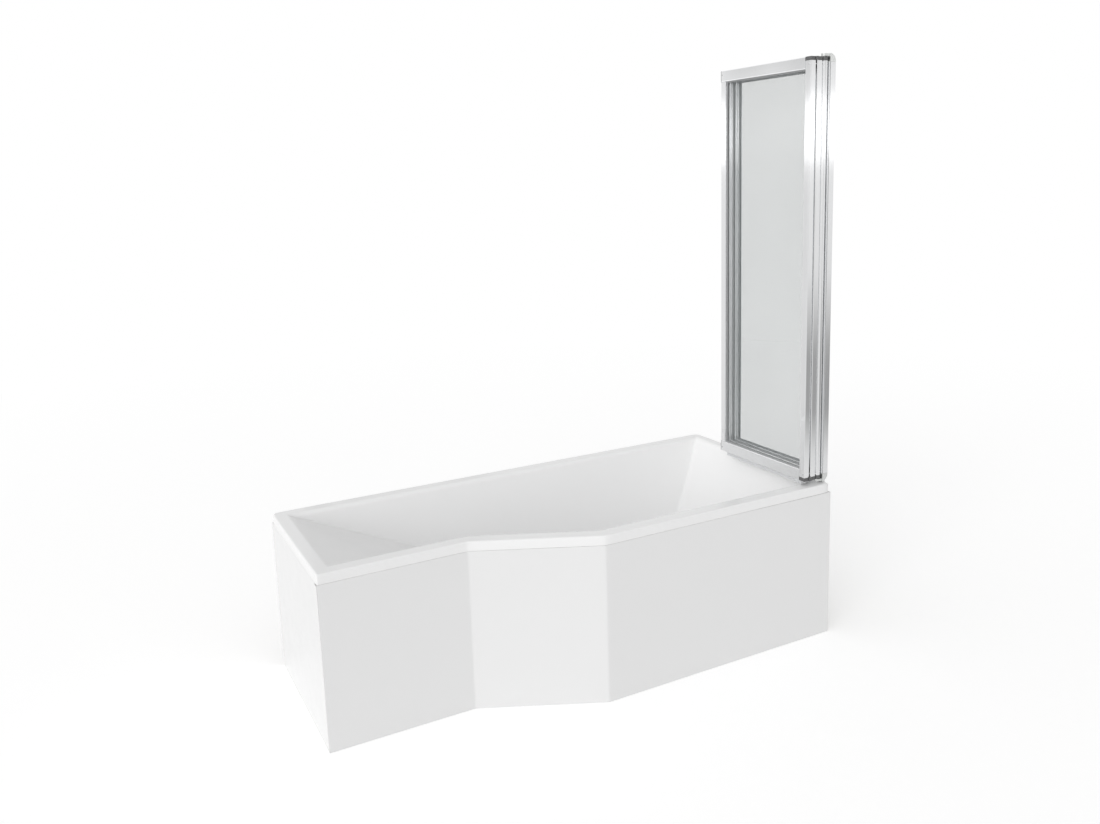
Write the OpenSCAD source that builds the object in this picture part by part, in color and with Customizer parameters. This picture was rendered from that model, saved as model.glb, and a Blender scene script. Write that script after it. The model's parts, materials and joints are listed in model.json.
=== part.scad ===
// Shower bath: a narrow sloping end to lie in, a wide end to stand in, a slanted front between
// them, loose panels, a levelled steel frame, a click waste and a three-leaf folding screen.
// Millimetres, Z up. The origin is on the floor, at the middle of the bath's length and width.
// Inside the modules, x runs from the narrow end to the screen's wall and y from the front
// to the back wall, both from 0; placed() moves that corner to the origin's place.

/* [Bath outline] */
// Length of the bath along its back wall
bath_l = 1700; // [1500:10:1800]
// Width of the bath at the wide end
bath_w = 750; // [700:5:850]
// Width of the bath at the narrow end
narrow_w = 572; // [520:2:640]
// Length of the straight front beside the narrow end
narrow_l = 448; // [380:2:520]
// Length of the slanted front, measured along the bath
slant_l = 367; // [300:1:440]
// Height of the rim above the floor
bath_h = 535; // [500:5:600]

/* [Rim] */
// Depth of the rim's outer face
rim_face = 30; // [24:1:45]
// Thickness of the acrylic shell with its backing
shell_t = 8; // [6:0.5:9]
// Thickness of the rim's outer face
rim_face_t = 6; // [4:0.5:8]
// Rim width along the narrow end's front
rim_front_narrow = 54; // [48:1:70]
// Rim width along the slanted front
rim_slant = 54; // [48:1:70]
// Rim width along the wide end's front
rim_front_wide = 57; // [50:1:70]
// Rim width under the screen's wall
rim_screen_end = 40; // [34:1:60]
// Rim width along the back wall
rim_back = 50; // [48:1:70]
// Rim width at the narrow end
rim_narrow_end = 42; // [40:1:60]
// Radius of the rim's outer top edge
rim_edge_r = 6; // [2:0.5:6]
// Radius where the rim rolls into the basin
rim_roll_r = 16; // [6:1:18]

/* [Basin] */
// Height of the basin's floor above the room's floor
basin_floor_h = 130; // [122:1:150]
// Radius between the basin's floor and its walls
cove_r = 70; // [50:5:90]
// Length of the standing floor, between its coves' centres
stand_l = 497; // [460:1:520]
// Reach of the front wall at the narrow end
front_run_narrow = 100; // [90:2:120]
// Reach of the front wall at the wide end
front_run_wide = 120; // [100:2:130]
// Reach of the wall under the screen
screen_end_run = 213; // [180:3:240]
// Reach of the back wall
back_run = 110; // [90:2:130]

/* [Panels and battens] */
// Thickness of the panels
panel_t = 4; // [3:0.5:5]
// Width of the panels' folded edges
panel_fold = 22; // [16:1:24]
// Gap between a panel and the rim
panel_gap = 0.5; // [0.3:0.1:1]
// Distance of the rim's battens from its outer face
batten_in = 14; // [12:0.5:15]
// Width of the rim's battens
batten_w = 24; // [20:1:24]
// Height of the rim's battens
batten_h = 18; // [14:1:18]
// Side of the battens on the floor
floor_batten = 20; // [16:1:24]
// Length of a panel clip
clip_l = 40; // [24:2:60]
// Distance between the wall brackets
bracket_step = 620; // [500:10:700]

/* [Frame and feet] */
// Thickness of the board under the basin's floor
board_t = 16; // [12:1:18]
// Width of a leg rail
rail_w = 40; // [34:1:50]
// Height of a leg rail
rail_h = 25; // [20:1:28]
// Thickness of the leg rails' steel
rail_t = 2.5; // [2:0.5:3]
// Distance from the board's end to a leg rail's centre
rail_inset = 60; // [40:5:90]
// How far a leg rail reaches past the board's side
rail_over = 68; // [60:1:80]
// Distance from a rail's end to its foot
foot_inset = 25; // [20:1:30]
// Radius of the feet's threaded rods
stud_r = 6; // [5:0.5:6]
// Radius of a foot's pad
foot_r = 25; // [20:1:32]
// Distance of the back rest's frame from the narrow end
lounge_frame_x = 330; // [280:10:420]
// Side of the back rest frame's square tubes
post_w = 25; // [20:1:30]

/* [Waste and overflow] */
// Distance of the waste from the screen's wall
waste_from_wall = 500; // [470:10:530]
// Distance of the waste from the wide front
waste_from_front = 270; // [250:5:300]
// Radius of the waste's hole
waste_hole_r = 26; // [24:0.5:28]
// Radius of the waste's flange
waste_flange_r = 36; // [34:1:40]
// Travel of the click plug
plug_travel = 9; // [5:1:12]
// Depth of the overflow below the rim
overflow_drop = 87; // [80:1:115]
// Radius of the overflow's hole
overflow_hole_r = 24; // [22:0.5:26]
// Radius of the overflow's cover
overflow_cover_r = 35; // [32:1:38]
// Outer radius of the overflow pipe
overflow_pipe_r = 14; // [12:0.5:15]
// Outer radius of the waste pipe
waste_pipe_r = 20; // [16:0.5:20]

/* [Screen] */
// Height of the screen above the rim
screen_h = 1400; // [1300:10:1500]
// Width of one leaf
leaf_w = 446; // [400:2:500]
// Thickness of a leaf's frame
leaf_t = 22; // [20:1:24]
// Width of the upright frame members
stile_w = 25; // [24:1:30]
// Height of the level frame members
leaf_rail_h = 38; // [34:1:44]
// Gap between two folded leaves
fold_gap = 5; // [4.5:0.1:6]
// Distance of the folded leaves from the bath's front
leaf_from_front = 20; // [19:1:30]
// Radius of the frame members' edges
leaf_edge_r = 3; // [1:0.5:4]
// Wall thickness of the aluminium sections
section_t = 1.8; // [1.4:0.1:2.2]
// Thickness of the glass
glass_t = 4; // [3:0.5:5]
// Height of the plastic hinge caps
cap_h = 12; // [10:1:16]
// Radius of a fold hinge's knuckle
knuckle_r = 5; // [4:0.5:5.5]
// Radius of a fold hinge's pin
fold_pin_r = 1.6; // [1.2:0.1:2]
// Distance of a fold hinge's axis beyond the leaves' ends
fold_reach = 1.5; // [1:0.1:2.5]
// Radius of the wall hinge's pins
wall_pin_r = 3; // [2:0.5:4]
// Depth of the wall channel with its post
channel_d = 23; // [20:1:30]
// Width of the wall channel
channel_w = 29; // [27:1:34]
// Height of the seal under a leaf
seal_h = 14; // [10:1:14]
// Height of the space under a leaf
leaf_lift = 17; // [16:1:20]
// Thickness of the wall hinge's arms
arm_t = 8; // [6:0.5:8]
// Radius of the holes that fasten the wall channel and the rim's brackets
fixing_r = 2.75; // [2:0.25:3.5]

/* [Hidden] */

smooth = 64;
coarse = 28;
// Small overlap that carries a cut past a face
past = 1;
// Clearance between parts that are laid or slipped together
seat = 0.2;
// Radial clearance of a pin that turns in its hole
turn = 0.05;

// ---------- Plan outlines ----------

function unit(v) = v / norm(v);
function following(p, i) = p[(i + 1) % len(p)];
function edge_dir(p, i) = unit(following(p, i) - p[i]);
function edge_inward(p, i) = [-edge_dir(p, i).y, edge_dir(p, i).x];
// Where two lines cross, each given by its normal and its distance from the corner
function meet(n, c, m, d) =
    let (det = n.x * m.y - n.y * m.x)
    [(c * m.y - d * n.y) / det, (n.x * d - m.x * c) / det];
// Outline with each side moved inward by its own distance
function inset(p, d) = [
    for (i = [0:len(p) - 1])
        let (h = (i + len(p) - 1) % len(p))
        meet(edge_inward(p, h), p[h] * edge_inward(p, h) + d[h],
             edge_inward(p, i), p[i] * edge_inward(p, i) + d[i])
];
function inset_all(p, d) = inset(p, [for (i = p) d]);

// Sides of the outline, anticlockwise from the narrow end's front corner
front_narrow = 0;
slant = 1;
front_wide = 2;
screen_end = 3;
back = 4;
narrow_end = 5;

front_y = bath_w - narrow_w;
outline = [
    [0, front_y], [narrow_l, front_y], [narrow_l + slant_l, 0],
    [bath_l, 0], [bath_l, bath_w], [0, bath_w]
];
mouth = inset(outline, [
    rim_front_narrow, rim_slant, rim_front_wide, rim_screen_end, rim_back, rim_narrow_end
]);

// ---------- Basin ----------

// Centres of the rounding between the basin's floor and its walls
floor_x1 = mouth[back].x - screen_end_run;
floor_x0 = floor_x1 - stand_l;
lounge_run = floor_x0 - mouth[narrow_end].x;
floor_y1 = mouth[back].y - back_run;
floor_y0_wide = mouth[screen_end].y + front_run_wide;
floor_y0_narrow = mouth[front_narrow].y + front_run_narrow;
cove_z = basin_floor_h + cove_r;
slant_run = ([floor_x0, floor_y0_wide] - mouth[slant]) * edge_inward(outline, slant);
// Angle from upright of a wall that falls from the rim and touches the cove
function wall_lean(run) =
    atan2(run, bath_h - cove_z) - asin(cove_r / norm([run, bath_h - cove_z]));
leans = [
    for (run = [front_run_narrow, slant_run, front_run_wide, screen_end_run, back_run, lounge_run])
        wall_lean(run)
];
// Distance of a wall's outer surface from the outline at a height
rim_widths = [
    rim_front_narrow, rim_slant, rim_front_wide, rim_screen_end, rim_back, rim_narrow_end
];
function skin_distance(i, z) =
    rim_widths[i] + (bath_h - z) * tan(leans[i]) - shell_t / cos(leans[i]);
skin_z = bath_h - shell_t / 2;
skin_mouth = inset(outline, [for (i = [0:5]) skin_distance(i, skin_z)]);
// Underside of the sloping back rest at a distance from the narrow end
function lounge_under(x) =
    bath_h - (x - mouth[narrow_end].x) / tan(leans[narrow_end]) - shell_t / sin(leans[narrow_end]);
under_floor = basin_floor_h - shell_t;

// ---------- Places of the bath's fittings ----------

joint_z = bath_h - rim_face;
rim_under = bath_h - shell_t;
batten_z = rim_under - batten_h;
panel_top = joint_z - panel_gap;
board_z = under_floor - 0.05 - board_t;
board_x0 = floor_x0;
board_x1 = floor_x1;
board_y0 = floor_y0_wide;
board_y1 = floor_y1;
rail_z = board_z - rail_h;
rail_xs = [board_x0 + rail_inset, board_x1 - rail_inset];
rail_y0 = board_y0 - rail_over;
rail_y1 = board_y1 + rail_over;
rail_feet_y = [rail_y0 + foot_inset, rail_y1 - foot_inset];
foot_h = 14;
nut_h = 8;
// Flat-to-flat width of a nut, over its corners
nut_r = stud_r * 1.85;
lounge_feet_y = [floor_y0_narrow - 32, floor_y1 + 30];
post_z = 60;
wedge_x1 = lounge_frame_x + rail_w / 2;
wedge_x0 = lounge_frame_x - rail_w / 2;
wedge_z = lounge_under(wedge_x1) - 20;
lounge_rail_z = wedge_z - rail_h;
waste_x = bath_l - waste_from_wall;
overflow_h = bath_h - overflow_drop;
waste_y = waste_from_front;

// ---------- Places of the screen's leaves ----------

leaf_z = bath_h + leaf_lift;
screen_top = bath_h + screen_h;
arm_gap = 2;
leaf_h = screen_top - arm_t - arm_gap - leaf_z;
wall_x = bath_l;
channel_x = wall_x - channel_d;
wall_gap = 1;
inner_x = channel_x - wall_gap - leaf_t;
middle_x = inner_x - fold_gap - leaf_t;
outer_x = middle_x - fold_gap - leaf_t;
leaf_y = leaf_from_front;
hinge_x = inner_x + leaf_t / 2;
hinge_y = leaf_y + leaf_t / 2;
channel_y = hinge_y - channel_w / 2;

// ---------- Shared shapes ----------

// Moves the bath's corner to its place beside the origin
module placed() translate([-bath_l / 2, -bath_w / 2, 0]) children();

// Prism on a plan outline
module slab(points, z0, z1) translate([0, 0, z0]) linear_extrude(z1 - z0) polygon(points);

// Band along some sides of the outline, between two distances from it
module band(sides, near, far, z0, z1) {
    a = inset_all(outline, near);
    b = inset_all(outline, far);
    for (i = sides) slab([a[i], following(a, i), following(b, i), b[i]], z0, z1);
}

// Solid lofted through rings of points, each ring an outline at its own height. The end faces fan
// out from the second point, which is the outline's only inward corner
module loft(rings, heights) {
    n = len(rings[0]);
    last = len(rings) - 1;
    points = [for (k = [0:last], p = rings[k]) [p.x, p.y, heights[k]]];
    polyhedron(points, concat(
        [for (i = [2:n - 1]) [1, i, (i + 1) % n]],
        [for (k = [0:last - 1], i = [0:n - 1], next = [(i + 1) % n])
            [(k + 1) * n + i, (k + 1) * n + next, k * n + next, k * n + i]],
        [for (i = [2:n - 1]) [last * n + 1, last * n + (i + 1) % n, last * n + i]]
    ));
}

// Upright square tube
module square_tube(side, wall, z0, z1) {
    translate([-side / 2, -side / 2, z0])
        difference() {
            cube([side, side, z1 - z0]);
            translate([wall, wall, -past]) cube([side - 2 * wall, side - 2 * wall, z1 - z0 + 2 * past]);
        }
}

// Rectangle with round corners, its lowest corner at the origin
module rounded_rect(w, h, r) {
    translate([r, 0]) square([w - 2 * r, h]);
    translate([0, r]) square([w, h - 2 * r]);
    for (x = [r, w - r], y = [r, h - r]) translate([x, y]) circle(r, $fn = smooth);
}

// Steel channel that opens downward, across the bath between two distances
module steel_channel(x, z, y0, y1) {
    translate([x - rail_w / 2, y0, z])
        difference() {
            cube([rail_w, y1 - y0, rail_h]);
            translate([rail_t, -past, -past])
                cube([rail_w - 2 * rail_t, y1 - y0 + 2 * past, rail_h - rail_t + past]);
        }
}

// Screws that hold the leg rails to the board
module at_rail_screws() {
    for (x = rail_xs, y = [board_y0 + 30, board_y1 - 30], s = [-1, 1])
        translate([x + s * rail_w / 5, y, rail_z + rail_h]) children();
}

module at_rail_feet() for (x = rail_xs, y = rail_feet_y) translate([x, y, 0]) children();

module at_lounge_feet() for (y = lounge_feet_y) translate([lounge_frame_x, y, 0]) children();

// ---------- The tub ----------

// Two convex hollows that make the basin: the sloping one to lie in and the wide one to stand in
module basin(top, z, floor_r) {
    lounge_top = [top[front_narrow], [top[screen_end].x, top[front_narrow].y], top[back], top[narrow_end]];
    shower_top = [top[slant], top[front_wide], top[screen_end], top[back], [top[slant].x, top[back].y]];
    // A ball of this radius has its lowest flat exactly floor_r below its centre
    ball_r = floor_r / cos(90 / floor((coarse + 1) / 2));
    hull() {
        slab(lounge_top, z, z + past);
        for (x = [floor_x0, floor_x1], y = [floor_y0_narrow, floor_y1])
            translate([x, y, cove_z]) sphere(ball_r, $fn = coarse);
    }
    hull() {
        slab(shower_top, z, z + past);
        for (x = [floor_x0, floor_x1], y = [floor_y0_wide, floor_y1])
            translate([x, y, cove_z]) sphere(ball_r, $fn = coarse);
    }
}

arc_steps = 6;
arc_angles = [for (k = [0:arc_steps]) 90 * k / arc_steps];

// The rim's block, its outer top edge rounded
module rim_block() {
    r = rim_edge_r;
    loft(
        concat([outline], [for (a = arc_angles) inset_all(outline, r * (1 - cos(a)))]),
        concat([joint_z], [for (a = arc_angles) bath_h - r * (1 - sin(a))])
    );
}

// Distance from a side of the mouth, inward, of the rim's roll at a depth below the rim's top
function roll_distance(lean, depth) =
    let (r = rim_roll_r, touch = r * (1 - sin(lean)))
    depth < touch
        ? sqrt(max(0, r * r - pow(r - depth, 2))) - touch / cos(lean)
        : depth * tan(lean) + 0.5 * min(1, depth - touch);

// What the rim's roll into the basin takes off, its foot drawn in to stay inside the basin
module mouth_roll() {
    depths = [for (a = arc_angles) rim_roll_r * (1 - cos(a))];
    foot = depths[arc_steps] + 2;
    function ring(depth, draw = 0) =
        inset(mouth, [for (lean = leans) roll_distance(lean, depth) + draw]);
    loft(
        concat([ring(foot, 9)], [for (k = [0:arc_steps]) ring(depths[arc_steps - k])], [ring(0)]),
        concat([bath_h - foot], [for (k = [0:arc_steps]) bath_h - depths[arc_steps - k]],
               [bath_h + past])
    );
}

front_lean = leans[front_wide];
// Overflow's place on the wide front wall, with its axis square to the wall, pointing inward
module at_overflow() {
    translate([waste_x, rim_front_wide + (bath_h - overflow_h) * tan(front_lean), overflow_h])
        rotate([-90 + front_lean, 0, 0]) children();
}

module tub_shell() {
    color("white") placed() difference() {
        union() {
            difference() {
                rim_block();
                slab(inset_all(outline, rim_face_t), joint_z - past, rim_under);
            }
            basin(skin_mouth, skin_z, cove_r + shell_t);
        }
        basin(mouth, bath_h, cove_r);
        mouth_roll();
        translate([waste_x, waste_y, under_floor - past])
            cylinder(h = shell_t + 2 * past, r = waste_hole_r, $fn = smooth);
        at_overflow() translate([0, 0, -2 * shell_t])
            cylinder(h = 3 * shell_t, r = overflow_hole_r, $fn = smooth);
    }
}

// ---------- What stiffens and carries the tub ----------

// Timber under the rim, left out at the screen's wall
module rim_battens() {
    color("burlywood") placed()
        band([front_narrow, slant, front_wide, back, narrow_end],
             batten_in, batten_in + batten_w, batten_z, rim_under);
}

module base_board() {
    color("tan") placed() difference() {
        translate([board_x0, board_y0, board_z])
            cube([board_x1 - board_x0, board_y1 - board_y0, board_t]);
        translate([waste_x, waste_y, board_z - past])
            cylinder(h = board_t + 2 * past, r = waste_body_r + 6, $fn = smooth);
        at_rail_screws() translate([0, 0, -past])
            cylinder(h = screw_grip + past, r = screw_r, $fn = smooth);
    }
}

screw_r = 2.5;
screw_grip = 11;
module leg_rail(x) {
    difference() {
        steel_channel(x, rail_z, rail_y0, rail_y1);
        at_rail_screws() translate([0, 0, -2 * rail_t])
            cylinder(h = 3 * rail_t, r = screw_r + turn, $fn = smooth);
        at_rail_feet() translate([0, 0, rail_z])
            cylinder(h = rail_h + past, r = stud_r + seat, $fn = smooth);
    }
}

module leg_rail_back_rest_side() color("lightsteelblue") placed() leg_rail(rail_xs[0]);

module leg_rail_screen_side() color("lightsteelblue") placed() leg_rail(rail_xs[1]);

// Pan-head screws, driven up through the rails into the board
module rail_screws() {
    color("silver") placed() at_rail_screws() {
        translate([0, 0, -rail_t]) cylinder(h = rail_t + screw_grip, r = screw_r, $fn = smooth);
        translate([0, 0, -rail_t - 2.5]) cylinder(h = 2.5, r = 2 * screw_r, $fn = smooth);
    }
}

// Welded frame under the back rest: a cross rail on two square posts with bored end plates
module back_rest_frame() {
    color("lightsteelblue") placed() {
        difference() {
            union() {
                steel_channel(lounge_frame_x, lounge_rail_z,
                              lounge_feet_y[0] - post_w, lounge_feet_y[1] + post_w);
                at_lounge_feet() {
                    square_tube(post_w, rail_t, post_z, lounge_rail_z + rail_h - rail_t);
                    translate([-post_w / 2, -post_w / 2, post_z]) cube([post_w, post_w, rail_t]);
                }
            }
            at_lounge_feet() translate([0, 0, post_z - past])
                cylinder(h = rail_t + 2 * past, r = stud_r + seat, $fn = smooth);
        }
    }
}

// Timber wedge bonded between the frame and the sloping back rest
module back_rest_wedge() {
    color("burlywood") placed()
        translate([0, lounge_feet_y[1] + post_w, 0])
            rotate([90, 0, 0])
                linear_extrude(lounge_feet_y[1] - lounge_feet_y[0] + 2 * post_w)
                    polygon([
                        [wedge_x0, wedge_z], [wedge_x1, wedge_z],
                        [wedge_x1, lounge_under(wedge_x1) - seat], [wedge_x0, lounge_under(wedge_x0) - seat]
                    ]);
}

// Threaded rods of the four feet under the rails and the two under the back rest
module foot_studs() {
    color("silver") placed() {
        at_rail_feet() translate([0, 0, foot_seat_z])
            cylinder(h = board_z + nut_h + 4 - foot_seat_z, r = stud_r, $fn = smooth);
        at_lounge_feet() translate([0, 0, foot_seat_z])
            cylinder(h = post_z + 30 - foot_seat_z, r = stud_r, $fn = smooth);
    }
}

foot_seat_z = 4;
module nut_on_stud(z) {
    translate([0, 0, z]) difference() {
        cylinder(h = nut_h, r = nut_r, $fn = 6);
        translate([0, 0, -past]) cylinder(h = nut_h + 2 * past, r = stud_r + turn, $fn = smooth);
    }
}

module foot_nuts() {
    color("gainsboro") placed() {
        at_rail_feet() {
            nut_on_stud(board_z - rail_t - nut_h);
            nut_on_stud(board_z);
        }
        at_lounge_feet() nut_on_stud(post_z - nut_h);
    }
}

// Round pads with a coned top and a blind socket for the rod
module foot_pads() {
    color("dimgray") placed()
        for (group = [0, 1]) {
            if (group == 0) at_rail_feet() foot_pad();
            if (group == 1) at_lounge_feet() foot_pad();
        }
}

module foot_pad() {
    rotate_extrude($fn = smooth)
        polygon([
            [0, 0], [foot_r, 0], [foot_r, 4], [foot_r - 2, 6], [2 * stud_r, foot_h],
            [stud_r + turn, foot_h], [stud_r + turn, foot_seat_z], [0, foot_seat_z]
        ]);
}

// ---------- Panels ----------

panel_inner = inset_all(outline, panel_t);
panel_lip = inset_all(outline, panel_fold);

// One moulded panel round the three fronts, folded inward at its top and bottom
module front_panel() {
    wall = [
        outline[0], outline[1], outline[2], outline[3],
        [bath_l, panel_t], panel_inner[2], panel_inner[1], [0, panel_inner[0].y]
    ];
    fold = [
        [panel_fold + seat, outline[0].y], outline[1], outline[2], outline[3],
        [bath_l, panel_fold], panel_lip[2], panel_lip[1], [panel_fold + seat, panel_lip[0].y]
    ];
    color("white") placed() {
        slab(wall, 0, panel_top);
        slab(fold, panel_top - panel_t, panel_top);
    }
}

// Flat panel across the narrow end, folded inward at its top
module end_panel() {
    y0 = panel_inner[0].y + seat;
    color("white") placed() {
        translate([0, y0, 0]) cube([panel_t, bath_w - y0, panel_top]);
        translate([0, y0, panel_top - panel_t]) cube([panel_fold, bath_w - y0, panel_t]);
    }
}

// Spring clip drawn as (inward, up): it hangs from the rim's batten and grips a panel's fold
module clip_section() {
    lower = panel_top - panel_t;
    back_x = panel_fold + 1;
    polygon([
        [batten_in, batten_z], [batten_in, panel_top + 0.3], [back_x, panel_top + 0.3],
        [back_x, lower - 0.3], [batten_in, lower - 0.3], [batten_in, lower - 3],
        [back_x + 3, lower - 3], [back_x + 3, batten_z]
    ]);
}

// Puts its children's section, of a clip's length, at a share of one side of the outline
module clip_at(i, share) {
    spot = outline[i] + share * (following(outline, i) - outline[i]);
    translate([spot.x, spot.y, 0])
        rotate([0, 0, atan2(edge_dir(outline, i).y, edge_dir(outline, i).x)])
            translate([-clip_l / 2, 0, 0])
                rotate([90, 0, 90]) linear_extrude(clip_l) clip_section();
}

module panel_clips() {
    color("dimgray") placed() {
        for (share = [0.3, 0.75]) clip_at(front_narrow, share);
        clip_at(slant, 0.5);
        for (share = [0.2, 0.5, 0.8]) clip_at(front_wide, share);
        for (share = [0.25, 0.75]) clip_at(narrow_end, share);
    }
}

// Timber on the room's floor that the panels' feet are screwed to
module floor_battens() {
    color("burlywood") placed()
        band([front_narrow, slant, front_wide, narrow_end],
             panel_t, panel_t + floor_batten, 0, floor_batten);
}

bracket_t = 3;
bracket_w = 50;
bracket_drop = 64;
bracket_hole_z = joint_z - 40;
bracket_xs = [for (n = [-1, 0, 1]) bath_l / 2 + n * bracket_step];
// Bent plates that carry the rim's back edge and are screwed to the wall behind it
module rim_wall_brackets() {
    tab = bath_w - batten_in - batten_w;
    step = bath_w - rim_face_t - 2;
    color("lightsteelblue") placed() for (x = bracket_xs) difference() {
        translate([x - bracket_w / 2, 0, 0])
            rotate([90, 0, 90])
                linear_extrude(bracket_w)
                    polygon([
                        [tab, batten_z], [step, batten_z], [step, joint_z], [bath_w, joint_z],
                        [bath_w, joint_z - bracket_drop], [bath_w - bracket_t, joint_z - bracket_drop],
                        [bath_w - bracket_t, joint_z - bracket_t], [step - bracket_t, joint_z - bracket_t],
                        [step - bracket_t, batten_z - bracket_t], [tab, batten_z - bracket_t]
                    ]);
        translate([x, bath_w - 2 * bracket_t, bracket_hole_z])
            rotate([-90, 0, 0]) cylinder(h = 3 * bracket_t, r = fixing_r, $fn = smooth);
    }
}

// ---------- Waste and overflow ----------

waste_body_r = 40;
gasket_t = 3;
flange_t = 3;
waste_tube_r = waste_hole_r - 0.5;
waste_tube_end = under_floor - 24;
plug_stem_r = 4;
plug_cap_r = waste_flange_r - 6;
guide_z = basin_floor_h - 12;
body_top = under_floor - gasket_t;
inlet_z = 84;
body_end = 60;
trap_top = 64;
trap_bottom = 8;
trap_r = 44;
trap_wall = 3;
bore_past = trap_top;
outlet_z = 36;
tail_r = 18;
outlet_end = bath_w - 10;
outlet_free = 40;
collar_w = 4;

module at_waste() translate([waste_x, waste_y, 0]) children();

// Dished flange on the basin's floor, its tube down through it and the guide for the plug's stem
module waste_flange() {
    color("silver") placed() at_waste() difference() {
        union() {
            rotate_extrude($fn = smooth)
                polygon([
                    [waste_tube_r - 3, waste_tube_end], [waste_tube_r, waste_tube_end],
                    [waste_tube_r, basin_floor_h], [waste_flange_r, basin_floor_h],
                    [waste_flange_r, basin_floor_h + 1], [waste_flange_r - 2, basin_floor_h + flange_t],
                    [plug_cap_r + 1.5, basin_floor_h + flange_t], [plug_cap_r + 0.5, basin_floor_h + 1],
                    [waste_tube_r + 0.5, basin_floor_h + 1], [waste_tube_r - 3, basin_floor_h - 2]
                ]);
            translate([0, 0, guide_z]) {
                cylinder(h = 5, r = 2 * plug_stem_r, $fn = smooth);
                for (a = [0, 60, 120]) rotate([0, 0, a])
                    translate([-waste_tube_r + 1, -1.5, 0]) cube([2 * waste_tube_r - 2, 3, 4]);
            }
        }
        translate([0, 0, guide_z - past])
            cylinder(h = 5 + 2 * past, r = plug_stem_r + turn, $fn = smooth);
    }
}

// Domed cap on a stem that slides in the flange's guide
module waste_plug() {
    seat_z = basin_floor_h + 1 + 0.3;
    dome_r = 160;
    color("gainsboro") placed() at_waste() {
        translate([0, 0, seat_z]) cylinder(h = 3, r = plug_cap_r, $fn = smooth);
        intersection() {
            translate([0, 0, seat_z]) cylinder(h = 7, r = plug_cap_r - 1, $fn = smooth);
            translate([0, 0, seat_z + 6 - dome_r]) sphere(dome_r, $fn = 2 * smooth);
        }
        translate([0, 0, guide_z - plug_travel - 6])
            cylinder(h = seat_z - guide_z + plug_travel + 7, r = plug_stem_r, $fn = smooth);
    }
}

// Rubber rings behind the basin's floor and behind its wall
module waste_gaskets() {
    color("dimgray") placed() {
        at_waste() translate([0, 0, body_top]) gasket_ring(waste_hole_r + 1, waste_body_r);
        at_overflow() translate([0, 0, -shell_t - gasket_t]) gasket_ring(overflow_hole_r, overflow_cover_r);
    }
}

module gasket_ring(inner, outer) {
    difference() {
        cylinder(h = gasket_t - seat, r = outer, $fn = smooth);
        translate([0, 0, -past]) cylinder(h = gasket_t + 2 * past, r = inner, $fn = smooth);
    }
}

// Moulded body under the basin, with an inlet for the overflow and a tail down into the trap
module waste_body() {
    color("whitesmoke") placed() at_waste() difference() {
        union() {
            translate([0, 0, body_top - 5]) cylinder(h = 5, r = waste_body_r, $fn = smooth);
            translate([0, 0, body_end + 8]) cylinder(h = body_top - body_end - 10, r = 32, $fn = smooth);
            translate([0, 0, trap_top - 26]) cylinder(h = 36, r = tail_r, $fn = smooth);
            translate([0, 0, inlet_z]) rotate([90, 0, 0])
                cylinder(h = 50, r = overflow_pipe_r + 3, $fn = smooth);
        }
        translate([0, 0, body_end + 11])
            cylinder(h = body_top - body_end, r = waste_tube_r + 0.5, $fn = smooth);
        translate([0, 0, trap_top - 26 - past])
            cylinder(h = body_top - trap_top + 26, r = tail_r - trap_wall, $fn = smooth);
        translate([0, 0, inlet_z]) rotate([90, 0, 0])
            cylinder(h = bore_past, r = overflow_pipe_r - trap_wall, $fn = smooth);
        translate([0, 8 - waste_body_r, inlet_z]) rotate([90, 0, 0])
            cylinder(h = bore_past, r = overflow_pipe_r + turn, $fn = smooth);
    }
}

// Low bottle trap: a coned cup, a closed top that takes the tail and a socket for the waste pipe
module waste_trap() {
    socket_end = trap_r + 20;
    color("whitesmoke") placed() at_waste() difference() {
        union() {
            rotate_extrude($fn = smooth)
                polygon([
                    [0, trap_bottom], [trap_r - 8, trap_bottom], [trap_r, trap_bottom + 8],
                    [trap_r, trap_top], [0, trap_top]
                ]);
            translate([0, 0, outlet_z]) rotate([-90, 0, 0])
                cylinder(h = socket_end, r = waste_pipe_r + 3, $fn = smooth);
        }
        rotate_extrude($fn = smooth)
            polygon([
                [0, trap_bottom + trap_wall], [trap_r - 9, trap_bottom + trap_wall],
                [trap_r - trap_wall, trap_bottom + 9], [trap_r - trap_wall, trap_top - trap_wall],
                [0, trap_top - trap_wall]
            ]);
        cylinder(h = trap_top + past, r = tail_r + turn, $fn = smooth);
        translate([0, 0, outlet_z]) rotate([-90, 0, 0])
            cylinder(h = socket_end + past, r = waste_pipe_r + turn, $fn = smooth);
    }
}

// Waste pipe that leaves towards the back wall, with a collar that stops the next coupling
module waste_outlet_pipe() {
    start = waste_y + trap_r - 2;
    color("whitesmoke") placed() translate([waste_x, start, outlet_z]) rotate([-90, 0, 0])
        difference() {
            union() {
                cylinder(h = outlet_end - start, r = waste_pipe_r, $fn = smooth);
                translate([0, 0, outlet_end - start - outlet_free - collar_w])
                    cylinder(h = collar_w, r = waste_pipe_r + 2, $fn = smooth);
            }
            translate([0, 0, -past])
                cylinder(h = outlet_end - start + 2 * past, r = waste_pipe_r - 2, $fn = smooth);
        }
}

// Domed overflow cover, open behind, with water slots at its lower edge
module overflow_cover() {
    color("silver") placed() at_overflow() difference() {
        rotate_extrude($fn = smooth)
            polygon([
                [0, 10], [0, 8], [overflow_cover_r - 5, 6.5], [overflow_cover_r - 3, 5],
                [overflow_cover_r - 3, 0], [overflow_cover_r, 0], [overflow_cover_r, 5.5],
                [overflow_cover_r - 1.5, 8], [overflow_cover_r - 5, 9]
            ]);
        for (a = [-40, -20, 0, 20, 40]) rotate([0, 0, a])
            translate([-4, overflow_cover_r - 6, -past]) cube([8, 10, 4]);
    }
}

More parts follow.
